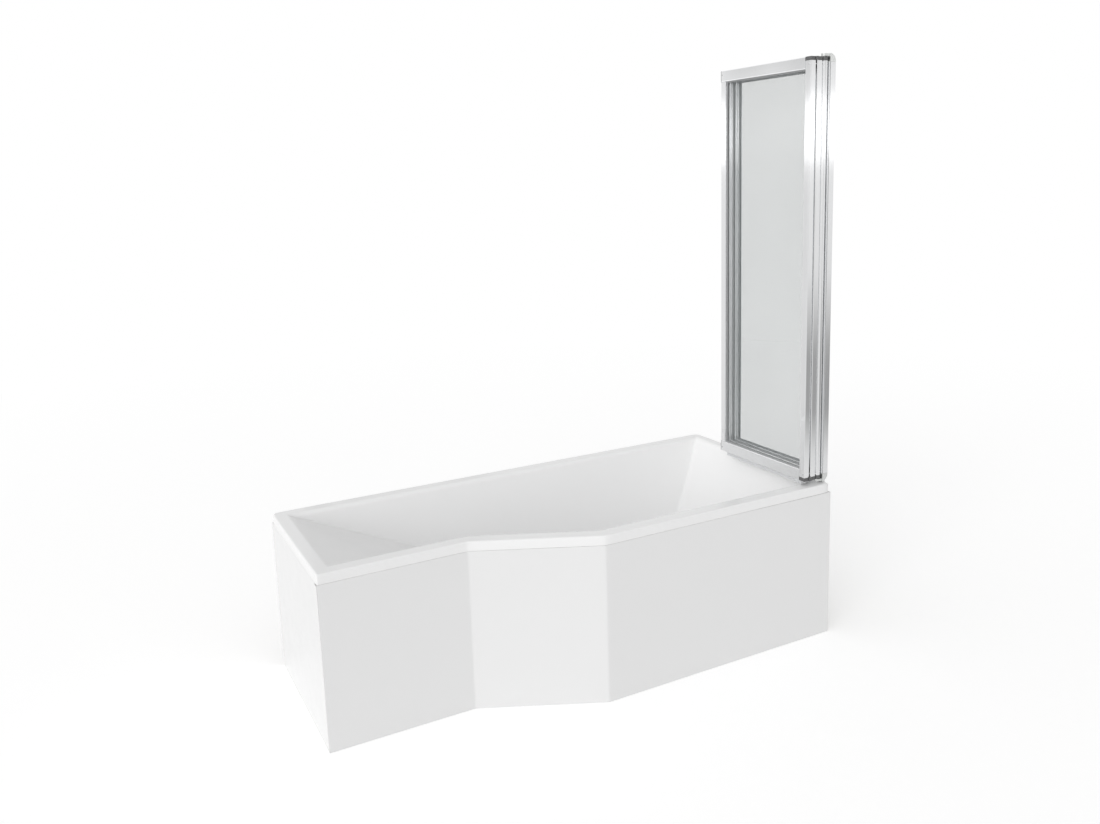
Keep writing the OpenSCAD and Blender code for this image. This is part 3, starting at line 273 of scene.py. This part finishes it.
finishes = {
    # Painted light: the tub's sheet is a lighter white than the panels' so that the shade in its basin
    # comes out brighter; both are one white acrylic.
    "acrylic": white_acrylic("acrylic", (0.97, 0.97, 0.97), 0.2),
    "panel_acrylic": white_acrylic("panel_acrylic", (0.895, 0.895, 0.895), 0.22),
    "timber": timber("timber", 0),
    "board": chipboard(),
    "galvanised_steel": galvanised_steel(),
    "zinc_hardware": turned_metal("zinc_hardware", (0.72, 0.73, 0.72), 0.3, 0.15),
    "grey_plastic": moulded_plastic("grey_plastic", (0.16, 0.165, 0.17), 0.5, 0.00006),
    "chrome": turned_metal("chrome", (0.90, 0.905, 0.91), 0.06, 0.05),
    "black_rubber": moulded_plastic("black_rubber", (0.025, 0.025, 0.026), 0.7, 0.00005),
    "white_plastic": moulded_plastic("white_plastic", (0.78, 0.79, 0.79), 0.38, 0.00003),
    "polished_aluminium": polished_aluminium("polished_aluminium", 2),
    "steel_pins": turned_metal("steel_pins", (0.74, 0.745, 0.75), 0.18, 0.1),
    "clear_glass": clear_glass(),
    "grey_gasket": moulded_plastic("grey_gasket", (0.38, 0.385, 0.39), 0.45, 0.00003),
    "black_plastic": moulded_plastic("black_plastic", (0.13, 0.13, 0.132), 0.32, 0.00004),
    "soft_seal": moulded_plastic("soft_seal", (0.72, 0.73, 0.74), 0.3, 0.00002),
}
level_aluminium = polished_aluminium("level_aluminium", 1)
backing = glass_fibre_backing()

slots = {s["node"]: s["material_slot"] for s in frame["record"]["subparts"]}
for name, piece in nodes.items():
    material = level_aluminium if name.endswith("_rail") and "leaf" in name else finishes[slots[name]]
    piece.data.materials.clear()
    piece.data.materials.append(material)


# ---------- Plan of the bath ----------

corner = np.array([0.85, 0.375])
outline = np.array([
    [0.0, 0.178], [0.448, 0.178], [0.815, 0.0], [1.7, 0.0], [1.7, 0.75], [0.0, 0.75]
]) - corner
front_narrow, slant, front_wide, screen_end, back, narrow_end = range(6)
edges = np.roll(outline, -1, 0) - outline
edges /= np.linalg.norm(edges, axis=1)[:, None]
inward = np.stack([-edges[:, 1], edges[:, 0]], 1)
starts = (outline * inward).sum(1)

rim_top = 0.535
rim_bottom = 0.505
shell = 0.008  # the basin's wall
skirt = 0.006  # the band that hangs from the rim
lip = 0.0006  # rounding of the band's foot
edge_r = 0.006  # rounding of the rim's outer edge
roll_r = 0.016  # rounding from the rim into the basin
basin_floor = 0.130
cove_r = 0.070  # rounding from the walls into the basin's floor
cove_z = basin_floor + cove_r
mouth_soft = 0.0022  # softness of the corners between the walls, at the rim

# Each wall is a plane that starts at the rim's inner edge and touches its cove. rim_widths and
# centres are the inward distances of that edge and of the cove's centre line. The slanted wall's
# centre line passes through a corner of the floor.
rim_widths = np.array([0.054, 0.054, 0.057, 0.040, 0.050, 0.042])
floor_corner = np.array([0.950, 0.177]) - corner
centres = np.array([0.154, 0.0, 0.177, 0.253, 0.160, 0.950])
centres[slant] = floor_corner @ inward[slant] - starts[slant]
runs = centres - rim_widths
falls = rim_top - cove_z
leans = np.arctan2(runs, falls) - np.arcsin(cove_r / np.hypot(runs, falls))
middle = np.array([1.198, 0.384]) - corner


def soft_least(a, b, k):
    """The smaller of two distances, with the corner between them rounded: minus k times the
    logarithm of the sum of the exponentials of minus each over k."""
    return -k * np.logaddexp(-a / k, -b / k)


def inside(x, y, d, k, round_k):
    """How far a plan point is inside the ring whose sides lie at distances d from the outline.
    The narrow front and the pair of slanted and wide fronts are joined by the larger value,
    because the outline turns inward between them. Corners of the screen's end and of the back
    have a softness of their own."""
    far = x[..., None] * inward[:, 0] + y[..., None] * inward[:, 1] - starts - d
    wide = soft_least(far[..., slant], far[..., front_wide], k)
    front = -soft_least(-far[..., front_narrow], -wide, k)
    near = soft_least(front, far[..., narrow_end], k)
    return soft_least(soft_least(near, far[..., screen_end], round_k), far[..., back], round_k)


def crossing(i, j, d):
    """Where sides i and j of each ring cross: both inward distances solved together."""
    ci, cj = starts[i] + d[:, i], starts[j] + d[:, j]
    n, m = inward[i], inward[j]
    det = n[0] * m[1] - n[1] * m[0]
    return np.stack([(ci * m[1] - cj * n[1]) / det, (n[0] * cj - m[0] * ci) / det], 1)


def rings(levels, per_side=30):
    """Grid of points, one row to a level (height, six side distances, corner softnesses). Columns
    crowd towards the ring's corners as half a cosine does, and each lies on a ray from the
    basin's middle, at the distance where inside() passes nought, found by halving."""
    z = np.array([level[0] for level in levels])
    d = np.array([level[1] * np.ones(6) for level in levels])
    k, round_k = np.array([level[2] * np.ones(2) for level in levels]).T[:, :, None]
    pairs = [(narrow_end, front_narrow), (front_narrow, slant), (slant, front_wide),
             (front_wide, screen_end), (screen_end, back), (back, narrow_end)]
    corners = np.stack([crossing(i, j, d) for i, j in pairs], 1)
    # Where the back rest has come past the narrow front, it meets the slanted wall instead.
    past = corners[:, 0, 0] > corners[:, 1, 0]
    corners[past, :2] = crossing(narrow_end, slant, d)[past, None]
    u = (1 - np.cos(np.pi * np.arange(per_side) / per_side)) / 2
    ends = np.roll(corners, -1, 1)
    points = corners[:, :, None] + (ends - corners)[:, :, None] * u[None, None, :, None]
    rays = points.reshape(len(z), -1, 2) - middle
    rays /= np.linalg.norm(rays, axis=2)[:, :, None]
    beyond, halvings = 1.6, 34  # past every ring, and down to a ten-billionth of a metre
    near = np.zeros(rays.shape[:2])
    far = near + beyond
    for _ in range(halvings):
        half = (near + far) / 2
        x, y = middle[0] + half * rays[:, :, 0], middle[1] + half * rays[:, :, 1]
        out = inside(x, y, d[:, None, :], k, round_k) < 0
        far, near = np.where(out, half, far), np.where(out, near, half)
    x, y = middle[0] + near * rays[:, :, 0], middle[1] + near * rays[:, :, 1]
    return np.stack([x, y, np.broadcast_to(z[:, None], x.shape)], 2)


def toward_middle(ring, shares):
    """Copies of a ring shrunk towards the basin's middle by each share."""
    flat = ring.copy()
    flat[:, :2] = middle
    return np.stack([flat + (ring - flat) * share for share in shares])


def surface(name, grid, finish):
    """Mesh of a grid of points (rows, columns, 3) closed round its columns, with its first and
    last rows drawn together into poles. The poles' faces come last, one ring after the other."""
    rows, columns = grid.shape[:2]
    count = rows * columns
    a = np.arange(count).reshape(rows, columns)
    b = np.roll(a, -1, 1)
    faces = np.stack([a[:-1], b[:-1], b[1:], a[1:]], 2).reshape(-1, 4).tolist()
    faces += np.stack([b[0], a[0], np.full(columns, count)], 1).tolist()
    faces += np.stack([a[-1], b[-1], np.full(columns, count + 1)], 1).tolist()
    points = np.vstack([grid.reshape(-1, 3), grid[0].mean(0), grid[-1].mean(0)])
    return mesh(name, points, faces, finish)


def mesh(name, points, faces, finish, smooth=True):
    """Object with a mesh of points and faces, its place in its mesh."""
    data = bpy.data.meshes.new(name)
    data.from_pydata(np.asarray(points).tolist(), [], faces)
    data.materials.append(finish)
    data.polygons.foreach_set("use_smooth", np.full(len(data.polygons), smooth))
    data.update()
    piece = bpy.data.objects.new(name, data)
    bpy.context.scene.collection.objects.link(piece)
    return piece


# ---------- Tub ----------


def wall_at(z, r):
    """Distances of the six walls at a height, for a cove of radius r: a plane that leans, down to
    where it touches the cove, and below that the cove's circle."""
    lift = (r - cove_r) / np.cos(leans)
    plane = rim_widths + (rim_top - z) * np.tan(leans) - lift
    down = (cove_z - z) / r
    arc = centres - r * np.sqrt(np.clip(1 - down * down, 0, 1))
    return np.where(down < np.sin(leans), plane, arc)


def roll_at(depth):
    """Distances of the rim's roll at a depth below the rim: a circle that meets each wall."""
    touch = roll_r * (1 - np.sin(leans))
    arc = np.sqrt(np.clip(roll_r ** 2 - (roll_r - depth) ** 2, 0, None)) - touch / np.cos(leans)
    return rim_widths + np.where(depth < touch, arc, depth * np.tan(leans))


def softness(z):
    """Corners between the walls: crisp at the mouth and rounder towards the floor."""
    down = np.clip((rim_top - z) / (rim_top - basin_floor), 0, 1)
    return mouth_soft + 0.016 * down ** 1.6


def tub_levels():
    """The shell's section from the middle of its underside, up its outside, round the rim and
    down into the basin, as (height, side distances, corner softness), and how many of these
    levels make up its hidden outside, to the foot of the rim's band."""
    quarter = np.radians(np.linspace(0, 90, 9))
    outer_r = cove_r + shell
    rim_under = rim_top - shell
    outer_cove = [cove_z - outer_r * math.sin(a) for a in np.radians(np.linspace(90, 15, 21))]
    outer_wall = np.linspace(cove_z - 0.015, rim_under - 0.001, 14)
    hidden = [(z, wall_at(z, outer_r), softness(z)) for z in [*outer_cove, *outer_wall]]
    top_skin = wall_at(rim_under, outer_r)
    crisp = np.array([mouth_soft, 0.009])  # the second is for the corners on the back and screen sides
    hidden += [(rim_under, top_skin + (skirt - top_skin) * s, crisp) for s in (0.1, 0.5, 0.95, 1.0)]
    hidden += [(z, skirt, crisp) for z in (rim_under - 0.001, rim_bottom + 0.001)]
    hidden += [(rim_bottom, skirt - 0.001, crisp), (rim_bottom, lip, crisp)]
    rim = [(rim_bottom + lip * (1 - math.cos(a)), lip * (1 - math.sin(a)), crisp) for a in quarter[1:]]
    rim += [(rim_bottom + 0.012, 0.0, crisp)]
    rim += [(rim_top - edge_r * (1 - math.sin(a)), edge_r * (1 - math.cos(a)), crisp) for a in quarter]
    mouth = roll_at(0.0)
    rim += [(rim_top, edge_r + (mouth - edge_r) * s, crisp + (mouth_soft - crisp) * s)
            for s in (0.05, 0.5, 0.95)]
    depths = roll_r * (1 - np.cos(np.radians(np.linspace(0, 90, 12))))
    roll = [(rim_top - depth, roll_at(depth), softness(rim_top - depth)) for depth in depths]
    inner_wall = np.linspace(rim_top - roll_r - 0.004, cove_z - 0.012, 40)
    inner_cove = [cove_z - cove_r * math.sin(a) for a in np.radians(np.linspace(12, 90, 34))]
    inner = [(z, wall_at(z, cove_r), softness(z)) for z in [*inner_wall, *inner_cove]]
    return hidden + rim + roll + inner, len(hidden)


levels, hidden_levels = tub_levels()
body = rings(levels)
columns = body.shape[1]
floor_shares = (0.04, 0.25, 0.5, 0.75, 0.93)
grid = np.concatenate([
    toward_middle(body[0], floor_shares), body, toward_middle(body[-1], floor_shares[::-1])
])
tub = surface("tub", grid, finishes["acrylic"])
tub.data.materials.append(backing)
backed = np.zeros(len(tub.data.polygons), np.int32)
backed[:(len(floor_shares) + hidden_levels) * columns] = 1
backed[-2 * columns:-columns] = 1
tub.data.polygons.foreach_set("material_index", backed)
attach(tub, "bath")
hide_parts("tub_shell")


# ---------- Panels ----------


def rounded_profile(points, radii, steps=5):
    """Closed section with each corner rounded: the corner's two tangent points, with a curve of
    the second degree drawn between them."""
    points = np.array(points, float)
    before, after = np.roll(points, 1, 0), np.roll(points, -1, 0)
    t = np.linspace(0, 1, steps)[:, None]
    out = []
    for p, a, b, r in zip(points, before, after, radii):
        start = p + (a - p) / np.linalg.norm(a - p) * r
        end = p + (b - p) / np.linalg.norm(b - p) * r
        out.append((1 - t) ** 2 * start + 2 * t * (1 - t) * p + t ** 2 * end)
    return np.vstack(out)


def panel(name, section, path):
    """Section of (inward distance, height) carried along a path, which gives a row of plan points
    to each station, one point to each of the section's distances. The two ends are closed."""
    stations = path(section[:, 0])
    grid = np.concatenate([stations, np.broadcast_to(section[:, 1], stations.shape[:2])[..., None]], 2)
    rows, columns = grid.shape[:2]
    a = np.arange(rows * columns).reshape(rows, columns)
    b = np.roll(a, -1, 1)
    faces = np.stack([a[:-1], a[1:], b[1:], b[:-1]], 2).reshape(-1, 4).tolist()
    faces += [a[0].tolist(), a[-1][::-1].tolist()]
    piece = mesh(name, grid.reshape(-1, 3), faces, finishes["panel_acrylic"])
    normals = piece.modifiers.new("edges", "WEIGHTED_NORMAL")
    normals.keep_sharp = True
    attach(piece, "bath")
    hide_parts(name.replace("_moulding", ""))
    return piece


panel_top = 0.5045
panel_t = 0.004
panel_gap = 0.0002  # between the front panel and the end panel
fold = 0.022  # depth of the flange turned in under the rim
section = rounded_profile(
    [[0.0, 0.0], [0.0, panel_top], [fold, panel_top], [fold, panel_top - panel_t],
     [panel_t, panel_top - panel_t], [panel_t, 0.0]],
    [0.0008, 0.0006, 0.001, 0.001, 0.001, 0.0008],
)


def front_path(d):
    """Stations along the three fronts. Each bend is a short arc: its tangent points lie a little
    way before and after the corner, and the corner itself moves with the inward distance."""
    wide = np.stack([d] * 6, 1)
    bends = [crossing(front_narrow, slant, wide), crossing(slant, front_wide, wide)]
    first, last = (np.stack([np.full_like(d, outline[end, 0]), outline[end, 1] + d], 1)
                   for end in (front_narrow, screen_end))
    rows = [first, first + (bends[0] - first) * 0.5]
    reach = 0.005
    for bend, before, after in zip(bends, edges[front_narrow:], edges[slant:]):
        start, end = bend - before * reach, bend + after * reach
        for t in np.linspace(0, 1, 7):
            rows.append((1 - t) ** 2 * start + 2 * t * (1 - t) * bend + t ** 2 * end)
    rows += [bends[1] + (last - bends[1]) * 0.5, last]
    return np.stack(rows)


def end_path(d):
    """Stations along the narrow end, from the front panel to the back wall."""
    first, last = outline[front_narrow, 1] + panel_t + panel_gap, outline[narrow_end, 1]
    ys = np.array([first, first + 0.001, (first + last) / 2, last - 0.001, last])
    x = np.broadcast_to(outline[narrow_end, 0] + d, (len(ys), len(d)))
    return np.stack([x, np.broadcast_to(ys[:, None], x.shape)], 2)


panel("front_panel_moulding", section, front_path)
end_panel = panel("end_panel_moulding", section, end_path)
end_panel.data.flip_normals()


# ---------- Floor, light and camera ----------


def backdrop(name, points, colour, glow):
    """Flat sheet that isn't part of the object. Its glow is added for the camera and for
    reflections, so that the ground looks white and still carries the object's shadow. Far from
    the object it is as white as the world behind it, so no horizon shows."""
    f = Finish(name, colour, 0.9, specular_ior_level=0.0)
    plain = Value(f, f.shader.outputs[0])
    lamp = f.node("ShaderNodeEmission", None, {"Strength": glow})
    glowing = f.node("ShaderNodeAddShader", None, [plain, lamp])
    white = f.node("ShaderNodeEmission", None, {"Strength": 1.0})
    spot = f.node("ShaderNodeTexCoord", out="Object")
    away = f.node("ShaderNodeVectorMath", {"operation": "LENGTH"}, [spot], 1).to(2.6, 6.0)
    f.finish_with(f.mixed(f.seen(), plain, f.mixed(away, glowing, white)), "Material Output")
    f.material.cycles.emission_sampling = "NONE"
    mesh(name, points, [[0, 1, 2, 3]], f.material, False)


floor_half = 90
floor_points = [[x * floor_half, y * floor_half, 0] for x, y in ((-1, -1), (1, -1), (1, 1), (-1, 1))]
backdrop("floor", floor_points, colour=(0.9, 0.9, 0.9), glow=0.325)


def studio_wall(centre, reach, first, last, top, steps=64):
    """Curved wall that only reflections show, from one bearing to another round a centre. Its
    glow changes with height, through a dim top, a bright window, an even middle and a band that
    is dark on one side, and softly with bearing, so that polished sections show long streaks."""
    turns = np.radians(np.linspace(first, last, steps))
    ring = np.stack([centre[0] + reach * np.sin(turns), centre[1] + reach * np.cos(turns)], 1)
    foot = 0.02
    points = np.vstack([np.column_stack([ring, np.full(steps, height)]) for height in (foot, top)])
    a = np.arange(steps - 1)
    faces = np.stack([a, a + 1, a + 1 + steps, a + steps], 1).tolist()
    f = Finish("studio_wall", (0.0, 0.0, 0.0), 1.0, specular_ior_level=0.0)
    place = f.node("ShaderNodeTexCoord", out="Object")
    x, y, z = (f.node("ShaderNodeSeparateXYZ", None, [place], axis) for axis in range(3))
    bearing = f.node("ShaderNodeMath", {"operation": "ARCTAN2"}, [x - centre[0], y - centre[1]])
    window = z.to(1.58, 1.70) * (1.0 - z.to(1.80, 1.94))
    dark = z.to(0.20, 0.42) * (1.0 - z.to(0.70, 1.10)) * bearing.to(-0.2, 0.6)
    crown = z.to(2.0, 2.12)
    level = 0.80 + window * 0.9 - dark * 0.42 - crown * 0.12
    spot = f.node("ShaderNodeCombineXYZ", None, [bearing * 5.0, 0.0, z * 0.15])
    streak = f.node("ShaderNodeTexNoise", None, {"Vector": spot, "Scale": 1.0, "Detail": 1.0})
    glare = 2.0  # the brightest the wall can be, because a blend's share ends at 1
    share = level * streak.to(0.3, 0.7, 0.78 / glare, 1.2 / glare)
    f.put("Emission Color", f.blend(share, (0.0, 0.0, 0.0), (glare, glare, glare)))
    f.put("Emission Strength", 1.0)
    f.material.cycles.emission_sampling = "NONE"
    wall = mesh("studio_wall", points, faces, f.material)
    for ray in ("camera", "diffuse", "shadow", "transmission", "volume_scatter"):
        setattr(wall, "visible_" + ray, False)


studio_wall(centre=(0.78, -0.13), reach=1.6, first=-15, last=-240, top=2.5)

world = bpy.data.worlds.new("studio")
bpy.context.scene.world = world
world.use_nodes = True
sky = Nodes(world.node_tree)
aim = sky.node("ShaderNodeTexCoord", out="Generated")
to_right, overhead = (sky.node("ShaderNodeSeparateXYZ", None, [aim], axis) for axis in (0, 2))
shade = 1.0 - (1.0 - to_right.to(-0.1, 0.9) * 0.9) * (1.0 - overhead.to(0.1, 1.0) * 0.30)
bright, dim, white = (sky.node("ShaderNodeBackground", None, {
    "Color": (1.0, 1.0, 1.0, 1.0), "Strength": strength
}) for strength in (0.88, 0.30, 1.0))
sky.finish_with(sky.mixed(sky.seen(), sky.mixed(shade, bright, dim), white), "World Output")

lamp = bpy.data.lights.new("window_side", "SUN")
lamp.energy = 0.86
lamp.angle = math.radians(40)
sun = bpy.data.objects.new("window_side", lamp)
toward_sun = Vector((-0.78, -0.52, 0.29))
sun.rotation_euler = toward_sun.to_track_quat("Z", "Y").to_euler()
bpy.context.scene.collection.objects.link(sun)

lens = bpy.data.cameras.new("camera")
camera = bpy.data.objects.new("camera", lens)
bpy.context.scene.collection.objects.link(camera)
bpy.context.scene.camera = camera
photo_width, focal, shift = 1100.0, 956.2, 70.0  # in the photo's pixels
lens.sensor_width = 36.0
lens.lens = focal / photo_width * lens.sensor_width
lens.shift_y = -shift / photo_width
lens.clip_end = 100.0
yaw, pitch, roll = (math.radians(a) for a in (27.541, 10.079, -1.806))
ahead = np.array([math.sin(yaw) * math.cos(pitch), math.cos(yaw) * math.cos(pitch), -math.sin(pitch)])
level_right = np.array([math.cos(yaw), -math.sin(yaw), 0.0])
level_up = np.cross(level_right, ahead)
right = math.cos(roll) * level_right + math.sin(roll) * level_up
up = -math.sin(roll) * level_right + math.cos(roll) * level_up
eye = np.array([-0.553, -2.306, 1.597]) - [*corner, 0.0]
placed = np.stack([right, up, -ahead, eye], 1)
camera.matrix_world = Matrix([[*map(float, row)] for row in placed] + [[0, 0, 0, 1]])
bpy.context.scene.view_settings.view_transform = "Standard"
